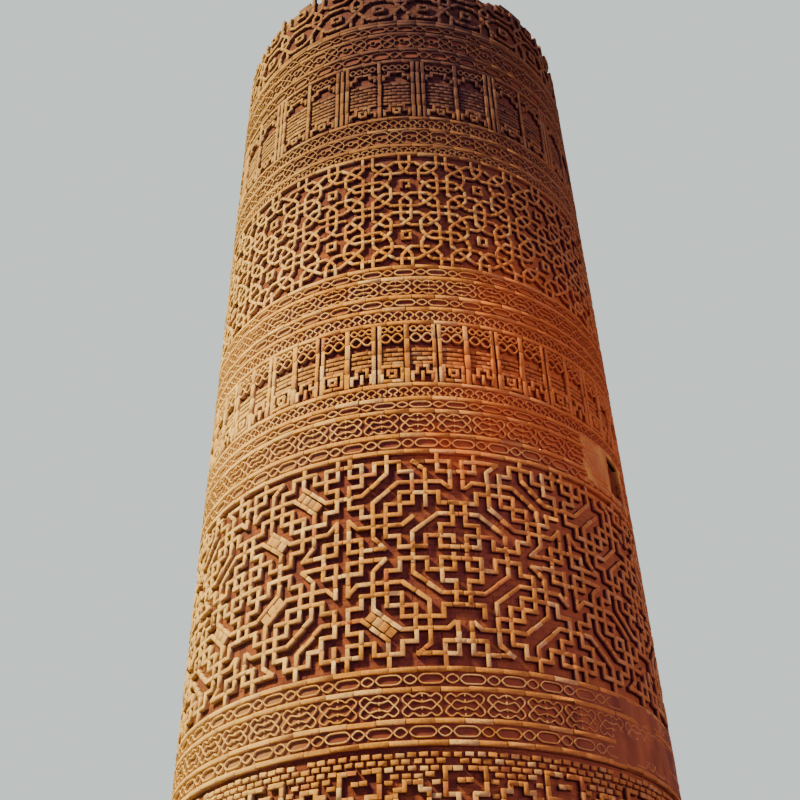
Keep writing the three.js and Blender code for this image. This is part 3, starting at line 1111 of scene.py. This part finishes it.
def bars_of(name, quarter, set_out, width):
    """Rows for laid(): the bars of a band, mirrored from one quarter of its cell."""
    sizes = bpy.context.scene.minaret_sizes
    low, high, _ = band(name)
    routes = within(scaled(quarters(quarter), *set_out), low, high)
    return bars(routes, width, BAR_FRONT, sizes.relief, sizes.half_brick)


class MINARET_OT_fret_relief(bpy.types.Operator):
    """Lays the bars of the fret band, with its great octagons and crosses"""

    bl_idname = "minaret.fret_relief"
    bl_label = "Fret band"

    def execute(self, context):
        chance = chance_for(1)
        girth = band("fret")[2]
        set_out = grid("fret", FRET_UNITS, FRET_SQUARES, FRET_LIFT)
        rows = bars_of("fret", FRET, set_out, context.scene.minaret_sizes.bar)
        bearings = all_round(FRET_UNITS, FRET_BEARING)
        corners, faces = weather_beaten(rows, bearings, girth, chance)
        for place, line in FRET_FILLERS:
            rows = bars(scaled([line], *set_out), *FILLER)
            bearing = FRET_BEARING + 360 / FRET_UNITS * place
            filler, _ = laid(rows, [bearing], girth, chance)
            corners = np.concatenate([corners, filler])
        build("fret_relief", [(corners, faces)])
        return {"FINISHED"}


class MINARET_OT_lattice_relief(bpy.types.Operator):
    """Lays the bars of the lattice band, two rows of stars with hollow squares"""

    bl_idname = "minaret.lattice_relief"
    bl_label = "Lattice band"

    def execute(self, context):
        girth = band("lattice")[2]
        set_out = grid("lattice", LATTICE_CELLS, LATTICE_STEPS, LATTICE_LIFT)
        rows = bars_of("lattice", LATTICE, set_out, LATTICE_BAR)
        bearings = all_round(LATTICE_CELLS)
        build("lattice_relief", [weather_beaten(rows, bearings, girth, chance_for(2))])
        return {"FINISHED"}


class MINARET_OT_crown_relief(bpy.types.Operator):
    """Lays the bars of the crown band up to the broken rim"""

    bl_idname = "minaret.crown_relief"
    bl_label = "Crown band"

    def execute(self, context):
        sizes = context.scene.minaret_sizes
        low, _, girth = band("crown")
        stretch = math.tau * girth / CROWN_CELLS / (CROWN_WIDTH * MM)
        routes = scaled(halves(CROWN), stretch * MM, MM, low)
        rows = bars(routes, sizes.bar, BAR_FRONT, sizes.relief, sizes.half_brick)
        bearings = all_round(CROWN_CELLS, CROWN_BEARING)
        bricks = weather_beaten(rows, bearings, girth, chance_for(3), CROWN_LOSS)
        build("crown_relief", [bricks])
        return {"FINISHED"}


class MINARET_OT_broken_rim(bpy.types.Operator):
    """Lays the last courses of the wall, with the bricks that are left of them"""

    bl_idname = "minaret.broken_rim"
    bl_label = "Broken rim"

    def execute(self, context):
        sizes = context.scene.minaret_sizes
        chance = chance_for(4)
        high = extent("crown_band_front")[1]
        girth = face_radius(high) - sizes.relief
        depth = (girth - BORE_RADIUS) / RIM_RINGS
        count = round(math.tau * girth / (sizes.brick * RIM_BRICK))
        length = math.tau * girth / count - RIM_JOINT
        shapes = []
        for bed in range(RIM_BEDS):
            height = high - (RIM_BEDS - bed - 0.5) * sizes.bed
            for ring in range(RIM_RINGS):
                front = -sizes.relief - ring * depth
                row = (0, height, length, sizes.bed - RIM_BED_JOINT, 0, front,
                       depth - RIM_JOINT)
                bearings = 360 / count * (np.arange(count) + 0.5 * ((bed + ring) % 2))
                corners, faces = laid([row], bearings, girth, chance)
                worn = chance.random(len(corners)) < RIM_WEAR * bed * (ring == 0)
                shapes.append((corners[~worn], faces))
        build("broken_rim", shapes)
        return {"FINISHED"}


def bay_courses(left, right, first, last, pitch):
    """Rows for laid(): short bricks stacked in running bond between two staves."""
    joint = bpy.context.scene.minaret_sizes.joint
    length, thick, front, depth = STACKED_BRICK
    count = round((right - left) / length)
    rows = []
    for k, height in enumerate(np.arange(first, last, pitch)):
        cuts = np.linspace(left, right, count + 1)
        if k % 2:
            cuts = np.r_[left, (cuts[1:] + cuts[:-1]) / 2, right]
        for a, b in zip(cuts, cuts[1:]):
            rows.append(((a + b) / 2, height, b - a - joint, thick, 0, front, depth))
    return rows


def guilloche(left, right, height, loops, reach):
    """Two strands that cross one another and make a row of loops."""
    along = np.linspace(left, right, 4 * loops + 1)
    wave = reach * np.sin(np.linspace(0, loops * math.pi, 4 * loops + 1))
    return [[(x, height + way * y) for x, y in zip(along, wave)] for way in (1, -1)]


def lay_panel(name, brickwork, middles, reach, stack, loops, bearings, chance):
    """Lays a panel. Brickwork has the routes, width, front and longest brick of its staves and
    frames. Each bay reaches to both sides of its middle and holds a stack of courses, from and
    to a height at a pitch, and rows of loops: the height, number and reach of each."""
    relief = bpy.context.scene.minaret_sizes.relief
    low, _, girth = band(name)
    rows = []
    for routes, width, front, longest in brickwork:
        rows += bars(scaled(routes, 1, 1, low), width, front, relief, longest)
    stacked = []
    strands = []
    for middle in middles:
        left, right = middle - reach, middle + reach
        stacked += bay_courses(left, right, low + stack[0], low + stack[1], stack[2])
        for height, count, swing in loops:
            strands += guilloche(left, right, low + height, count, swing)
    shapes = [laid(rows, bearings, girth, chance)]
    for route in strands:
        flat, faces = strand(route, False, *LOOP_STRAND, -relief - BEHIND)
        shapes.append(repeated(flat, faces, bearings, girth, chance))
    build(f"{name}_relief", shapes)
    build(f"{name}_courses", [laid(stacked, bearings, girth, chance)], "fired_brick_courses")


def upright(places, tall):
    """Routes that run straight up at places along."""
    return [[(x, 0), (x, tall)] for x in places]


class MINARET_OT_lower_panel(bpy.types.Operator):
    """Lays the lower panel: narrow bays between staves, with framed squares and stepped frames
    at the foot, stacked courses, and rows of loops above"""

    bl_idname = "minaret.lower_panel"
    bl_label = "Lower panel"

    def execute(self, context):
        sizes = context.scene.minaret_sizes
        low, high, girth = band("lower_panel")
        bays = 48
        bay = math.tau * girth / bays
        square = [(-0.034, 0.086), (0.034, 0.086), (0.034, 0.154), (-0.034, 0.154),
                  (-0.034, 0.086)]
        casing = [(0, 0.205), (0.098, 0.205), (0.098, 0.034), (0, 0.034)]
        stepped = [(0, 0.2), (0.052, 0.2), (0.052, 0.12), (0.1, 0.12), (0.1, 0.02)]
        foot = [square, mirrored(casing)]
        foot += moved([mirrored(stepped), [(0, 0.02), (0, 0.14)]], bay)
        staves = upright([bay / 2], high - low)
        doubles = upright([-bay / 2 - 0.03, -bay / 2 + 0.03], high - low)
        brickwork = [
            (staves, 0.05, STAVE_FRONTS[0], sizes.brick),
            (doubles, 0.036, STAVE_FRONTS[0], sizes.brick),
            (foot, MOTIF_BAR, BAR_FRONT, sizes.half_brick),
        ]
        lay_panel("lower_panel", brickwork, middles=(0, bay), reach=0.116,
                  stack=(0.258, 0.46, 0.055), loops=[(0.56, 2, 0.056), (0.672, 3, 0.036)],
                  bearings=all_round(bays // 2, first=-4.6), chance=chance_for(5))
        return {"FINISHED"}


class MINARET_OT_upper_panel(bpy.types.Operator):
    """Lays the upper panel: wide bays between single and triple staves, with squares in stepped
    frames at the foot, stacked courses, and stepped arches under a row of loops"""

    bl_idname = "minaret.upper_panel"
    bl_label = "Upper panel"

    def execute(self, context):
        sizes = context.scene.minaret_sizes
        low, high, girth = band("upper_panel")
        bays = 30
        bay = math.tau * girth / bays
        off = 0.028  # the bays lie off centre, because the triple staves take more room
        square = [(-0.034, 0.075), (0.034, 0.075), (0.034, 0.143), (-0.034, 0.143),
                  (-0.034, 0.075)]
        stepped = [(0, 0.205), (0.08, 0.205), (0.08, 0.12), (0.145, 0.12), (0.145, 0.03)]
        arch = [(0, 0.8), (0.085, 0.8), (0.085, 0.735), (0.148, 0.735), (0.148, 0.655)]
        motifs = [square, mirrored(stepped), mirrored(arch)]
        motifs = moved(motifs, off) + moved(motifs, bay - off)
        triples = [-bay / 2 + x for x in (-0.064, 0, 0.064)]
        brickwork = [
            (upright([bay / 2] + triples, high - low), 0.04, STAVE_FRONTS[1], sizes.brick),
            (motifs, MOTIF_BAR, BAR_FRONT, sizes.half_brick),
        ]
        lay_panel("upper_panel", brickwork, middles=(off, bay - off), reach=0.162,
                  stack=(0.26, 0.63, 0.058), loops=[(0.885, 4, 0.042)],
                  bearings=all_round(bays // 2, first=-13.0), chance=chance_for(6))
        return {"FINISHED"}


class MINARET_OT_frieze(bpy.types.Operator):
    """Lays the frieze: a field of short headers with an angular key standing out from it"""

    bl_idname = "minaret.frieze"
    bl_label = "Frieze band"

    def execute(self, context):
        sizes = context.scene.minaret_sizes
        chance = chance_for(7)
        low, high, girth = band("frieze")
        middle = (low + high) / 2
        stretch = math.tau * girth / FRIEZE_UNITS / (FRIEZE_WIDTH * MM)
        routes = scaled(quarters(FRIEZE), stretch * MM, MM, middle)
        rows = bars(routes, FRIEZE_BAR, FRIEZE_KEY_FRONT, sizes.relief, sizes.half_brick)
        bearings = all_round(FRIEZE_UNITS, FRIEZE_BEARING)
        build("frieze_key", [laid(rows, bearings, girth, chance)])
        step = 360 / HEADERS_ROUND
        unit = 360 / FRIEZE_UNITS
        length = math.radians(step) * girth - HEADER_JOINT
        fields = []
        for k in range(int((high - low) / HEADER_RISE)):
            height = high - HEADER_TOP - k * HEADER_RISE
            bearing = step * (np.arange(HEADERS_ROUND) + 0.5 * (k % 2))
            x = np.abs((bearing - FRIEZE_BEARING + unit / 2) % unit - unit / 2)
            x = np.radians(x) * girth / MM
            y = abs(height - middle) / MM
            inside = np.any(
                [(x > a) & (x < b) & (y > c) & (y < d) for a, b, c, d in KEY_ROOM], axis=0
            )
            left = bearing[~inside & (chance.random(HEADERS_ROUND) > HEADERS_LOST)]
            count = len(left)
            # Each header has its own size and set
            rows = np.column_stack([
                np.radians(left) * girth,
                height + chance.normal(0, HEADER_SHIFT, count),
                length * chance.uniform(*HEADER_LENGTHS, count),
                HEADER_HEIGHT * chance.uniform(*HEADER_HEIGHTS, count),
                chance.normal(0, HEADER_TILT, count),
                HEADER_FRONT + chance.normal(0, HEADER_STRAY, count),
                np.full(count, HEADER_DEPTH),
            ])
            fields.append(laid(rows, [0], girth, chance))
        build("frieze_headers", fields, "fired_brick_headers")
        return {"FINISHED"}


def arch_curve():
    """Points (half width, height) up the right side of the pointed arch."""
    start = np.array([DOOR_WIDTH / 2, DOOR_SPRING])
    pull = np.array([DOOR_WIDTH / 2, DOOR_SPRING + ARCH_FULLNESS * DOOR_RISE])
    top = np.array([0, DOOR_SPRING + DOOR_RISE])
    steps = np.linspace(0, 1, 9)
    return [tuple((1 - s) ** 2 * start + 2 * s * (1 - s) * pull + s * s * top) for s in steps]


def arch_reach(height):
    """Half the width that the arch and its ring of bricks take up at a height."""
    outer = []
    points = arch_curve()
    for (x0, z0), (x1, z1) in zip(points, points[1:]):
        way = Vector((x1 - x0, z1 - z0)).normalized()
        outer.append((x0 + way.y * ARCH_DEPTH, z0 - way.x * ARCH_DEPTH))
    outer.append((0.0, points[-1][1] + ARCH_DEPTH * ARCH_PEAK))
    if height > outer[-1][1]:
        return 0.0
    return float(np.interp(height, [z for _, z in outer], [x for x, _ in outer]))


def arch_rows():
    """Rows for laid(): the bricks on edge round the pointed arch, both sides."""
    points = [Vector(p) for p in arch_curve()]
    lengths = [0.0]
    for a, b in zip(points, points[1:]):
        lengths.append(lengths[-1] + (b - a).length)
    count = round(lengths[-1] / ARCH_BRICK)
    rows = []
    for k in range(count):
        at = (k + 0.5) / count * lengths[-1]
        x = float(np.interp(at, lengths, [p.x for p in points]))
        z = float(np.interp(at, lengths, [p.y for p in points]))
        i = max(j for j, run in enumerate(lengths[:-1]) if run <= at)
        way = (points[i + 1] - points[i]).normalized()
        x += way.y * ARCH_DEPTH / 2
        z -= way.x * ARCH_DEPTH / 2
        turn = math.atan2(-way.x, way.y)
        for side, lean in ((1, turn), (-1, math.pi - turn)):
            rows.append((side * x, z, ARCH_DEPTH, ARCH_COURSE, lean, WALL_FRONT,
                         BASE_BRICK_DEPTH))
    return rows


def bond_row(height, girth, opening, bed):
    """Rows for laid(): one bed of the base in running bond, along from the doorway round to it
    again, clipped at the opening."""
    sizes = bpy.context.scene.minaret_sizes
    whole = math.tau * girth
    count = round(whole / sizes.brick)
    step = whole / count
    rows = []
    for k in range(count):
        left = ((k - 0.5 * (bed % 2)) * step + whole / 2) % whole - whole / 2
        right = left + step
        pieces = [(left, right)]
        if opening > 0:
            pieces = [(left, min(right, -opening)), (max(left, opening), right)]
        for a, b in pieces:
            if b - a > SHORTEST_BRICK:
                rows.append(((a + b) / 2, height, b - a - BASE_JOINT, sizes.course, 0,
                             WALL_FRONT, BASE_BRICK_DEPTH))
    return rows


def door_cutter():
    """A block in the shape of the doorway, through the wall at the back."""
    below_ground = -0.1
    in_the_hollow = BORE_RADIUS * 0.7
    outline = [(DOOR_WIDTH / 2, below_ground)] + arch_curve()
    outline += [(-x, z) for x, z in reversed(outline[:-1])]
    deselect()
    bpy.ops.mesh.primitive_circle_add(vertices=len(outline), radius=1, fill_type="NGON")
    cutter = bpy.context.object
    for corner, (x, z) in zip(cutter.data.vertices, outline):
        corner.co = (x, in_the_hollow, z)
    edit(cutter)
    bpy.ops.mesh.select_all(action="SELECT")
    bpy.ops.mesh.extrude_region_move(TRANSFORM_OT_translate={"value": (0, FOOT_RADIUS, 0)})
    bpy.ops.mesh.select_all(action="SELECT")
    bpy.ops.mesh.normals_make_consistent(inside=False)
    bpy.ops.object.mode_set(mode="OBJECT")
    return cutter


class MINARET_OT_base(bpy.types.Operator):
    """Turns the base wall, cuts its doorway and lays its bricks in bond round it"""

    bl_idname = "minaret.base"
    bl_label = "Base wall and doorway"

    def execute(self, context):
        sizes = context.scene.minaret_sizes
        chance = chance_for(8)
        low, high = extent("base_wall_front")
        wall = turned(low, high, -RAKED)
        cut_away(wall, door_cutter())
        finished(wall, "base_wall_core", "fired_brick_plain", smooth=30)
        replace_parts(wall, "base_wall_front", "base_wall_right", "base_wall_left",
                    "base_wall_back_right", "base_wall_back_left")
        shapes = []
        for k in range(round((high - low) / sizes.bed)):
            height = low + (k + 0.5) * sizes.bed
            opening = arch_reach(height) if height > DOOR_SPRING else DOOR_WIDTH / 2
            girth = face_radius(height)
            rows = bond_row(height, girth, opening, k)
            shapes.append(laid(rows, [DOOR_BEARING], girth, chance))
        build("base_wall_bricks", shapes)
        arch = laid(arch_rows(), [DOOR_BEARING], face_radius(DOOR_SPRING), chance)
        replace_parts(build("doorway_arch_bricks", [arch]), "doorway_arch")
        return {"FINISHED"}


def plaster_coat(heights, bearings, cells, thin, thick, chance):
    """A coat of plaster between two heights and two bearings. Its edges are ragged, and from
    the left its face rises from thin to thick, so that it drowns the ornament little by little."""
    low, high = heights
    first, last = bearings
    girth = face_radius((low + high) / 2)
    sunk = -bpy.context.scene.minaret_sizes.relief - PLASTER_SUNK
    deselect()
    bpy.ops.mesh.primitive_grid_add(x_subdivisions=cells[0], y_subdivisions=cells[1], size=1)
    coat = bpy.context.object
    bumps = chance.normal(0, 1, (6, 4))
    for corner in coat.data.vertices:
        u, v = corner.co.x * 2, corner.co.y * 2
        rough = sum(
            a * math.sin(3 * (1 + abs(b)) * u + 9 * c) * math.cos(2 * (1 + abs(d)) * v + 5 * a)
            for a, b, c, d in bumps
        )
        edge = 1 - max(abs(u) ** 4, abs(v) ** 4) - PLASTER_RAGGED * abs(rough)
        full = min((u + 1) / (2 * PLASTER_RISE), 1)
        proud = thin + (thick - thin) * full + PLASTER_WAVES * rough
        if edge < PLASTER_EDGE:
            proud = sunk
        bearing = first + (last - first) * (u + 1) / 2
        height = low + (high - low) * (v + 1) / 2
        corner.co = bent(np.array([0.0, height, min(proud, PLASTER_FURTHEST)]), bearing, girth)
    body = coat.modifiers.new("Thickness", "SOLIDIFY")
    body.thickness = PLASTER_THICKNESS
    body.offset = -1
    alone(coat)
    bpy.ops.object.modifier_apply(modifier=body.name)
    return coat


class MINARET_OT_plaster(bpy.types.Operator):
    """Trowels the old repairs over the border beside the slit window and over the lower border"""

    bl_idname = "minaret.plaster"
    bl_label = "Old plaster"

    def execute(self, context):
        chance = chance_for(9)
        heights = (WINDOW_SILL - PATCH_ROOM, WINDOW_SILL + WINDOW_HEIGHT + PATCH_ROOM)
        patch = plaster_coat(heights, PATCH_BEARINGS, PATCH_CELLS, PATCH_FRONT, PATCH_FRONT,
                             chance)
        cut_away(patch, window_cutter())
        finished(patch, "window_plaster", "mud_plaster", smooth=60)
        low, high = extent("frieze_border")
        heights = (low + WORN_FOOT, high)
        coat = plaster_coat(heights, WORN_BEARINGS, WORN_CELLS, *WORN_FRONTS, chance)
        finished(coat, "border_plaster", "earth_plaster", smooth=60)
        return {"FINISHED"}


class MINARET_OT_stage(bpy.types.Operator):
    """Sets the plain floor, the soft lights and the camera that looks up as the photo does"""

    bl_idname = "minaret.stage"
    bl_label = "Floor, lights and camera"

    def execute(self, context):
        lay_floor(opaque(context.scene.minaret_colours.floor))
        set_backdrop()
        for name, lamp in LAMPS.items():
            hang_lamp(name, *lamp)
        context.scene.camera = photo_camera()
        deselect()
        return {"FINISHED"}


def lay_floor(colour):
    """A floor that looks pale all over, also where the lamps don't reach, though less light
    comes back up from it."""
    deselect()
    bpy.ops.mesh.primitive_circle_add(
        vertices=96, radius=FLOOR_RADIUS, fill_type="NGON", location=(0, 0, FLOOR_LEVEL)
    )
    floor = bpy.context.object
    floor.name = "studio_floor"
    bpy.ops.object.transform_apply(location=True)
    finish, tree, shader = new_finish("matt_painted_floor")
    eye = add(tree, "LightPath", out="Is Camera Ray")
    seen = add(tree, "Mix", {0: eye, 6: opaque(linear(FLOOR_LIT)), 7: colour}, 2, **BLEND)
    glow = add(tree, "Math", [eye, FLOOR_GLOW], **PRODUCT)
    tree.links.new(seen, shader.inputs["Base Color"])
    tree.links.new(glow, shader.inputs["Emission Strength"])
    shader.inputs["Emission Color"].default_value = colour
    shader.inputs["Roughness"].default_value = 0.9
    floor.data.materials.append(finish)


def set_backdrop():
    """A backdrop that looks pale, and gives the bricks a low cool light."""
    world = bpy.data.worlds.new("studio_air")
    world.use_nodes = True
    tree = world.node_tree
    eye = add(tree, "LightPath", out="Is Camera Ray")
    lit, seen = (opaque(linear(shade)) for shade, _ in (AIR_LIT, AIR_SEEN))
    shade = add(tree, "Mix", {0: eye, 6: lit, 7: seen}, 2, **BLEND)
    strength = add(tree, "MapRange", [eye, 0.0, 1.0, AIR_LIT[1], AIR_SEEN[1]], **EASED)
    sky = tree.nodes["Background"]
    tree.links.new(shade, sky.inputs["Color"])
    tree.links.new(strength, sky.inputs["Strength"])
    bpy.context.scene.world = world


def hang_lamp(name, place, aim, size, power, spread, shade):
    deselect()
    bpy.ops.object.light_add(type="AREA", location=place)
    lamp = bpy.context.object
    lamp.name = name
    lamp.data.size = size
    lamp.data.energy = power
    lamp.data.spread = math.radians(spread)
    lamp.data.color = linear(shade)
    way = Vector((0, 0, aim)) - Vector(place)
    lamp.rotation_euler = way.to_track_quat("-Z", "Y").to_euler()


def photo_camera():
    """The camera at the photo's place, with its turn and its angle of view."""
    forward = Vector((math.sin(YAW) * math.cos(PITCH), math.cos(YAW) * math.cos(PITCH),
                      math.sin(PITCH)))
    level = forward.cross(Vector((0, 0, 1))).normalized()
    steep = level.cross(forward)
    right = level * math.cos(ROLL) + steep * math.sin(ROLL)
    up = steep * math.cos(ROLL) - level * math.sin(ROLL)
    deselect()
    bpy.ops.object.camera_add(location=EYE)
    camera = bpy.context.object
    camera.name = "photo_camera"
    turn = Matrix((right, up, -forward)).transposed().to_4x4()
    camera.matrix_world = Matrix.Translation(EYE) @ turn
    camera.data.sensor_width = SENSOR
    camera.data.lens = FOCAL_PIXELS / PHOTO_PIXELS * SENSOR
    camera.data.clip_end = 200
    return camera


class MINARET_PT_panel(bpy.types.Panel):
    """Lists the pieces of the minaret and its sizes and colours"""

    bl_idname = "MINARET_PT_panel"
    bl_label = "Brick minaret"
    bl_space_type = "VIEW_3D"
    bl_region_type = "UI"
    bl_category = "Minaret"

    def draw(self, context):
        layout = self.layout
        for group in (context.scene.minaret_sizes, context.scene.minaret_colours):
            box = layout.box()
            for name in group.bl_rna.properties.keys():
                if name not in ("rna_type", "name"):
                    box.prop(group, name)
        for operator in OPERATORS:
            layout.operator(operator.bl_idname)


OPERATORS = (
    MINARET_OT_stage,
    MINARET_OT_walls,
    MINARET_OT_base,
    MINARET_OT_string_courses,
    MINARET_OT_border_strips,
    MINARET_OT_frieze,
    MINARET_OT_fret_relief,
    MINARET_OT_lower_panel,
    MINARET_OT_lattice_relief,
    MINARET_OT_upper_panel,
    MINARET_OT_crown_relief,
    MINARET_OT_broken_rim,
    MINARET_OT_plaster,
)
CLASSES = (MinaretSizes, MinaretColours, *OPERATORS, MINARET_PT_panel)


def register():
    for each in CLASSES:
        bpy.utils.register_class(each)
    bpy.types.Scene.minaret_sizes = bpy.props.PointerProperty(type=MinaretSizes)
    bpy.types.Scene.minaret_colours = bpy.props.PointerProperty(type=MinaretColours)


def unregister():
    del bpy.types.Scene.minaret_colours
    del bpy.types.Scene.minaret_sizes
    for each in reversed(CLASSES):
        bpy.utils.unregister_class(each)


def main():
    """Makes every piece in order."""
    register()
    for operator in OPERATORS:
        group, name = operator.bl_idname.split(".")
        getattr(getattr(bpy.ops, group), name)()


if __name__ == "__main__":
    main()
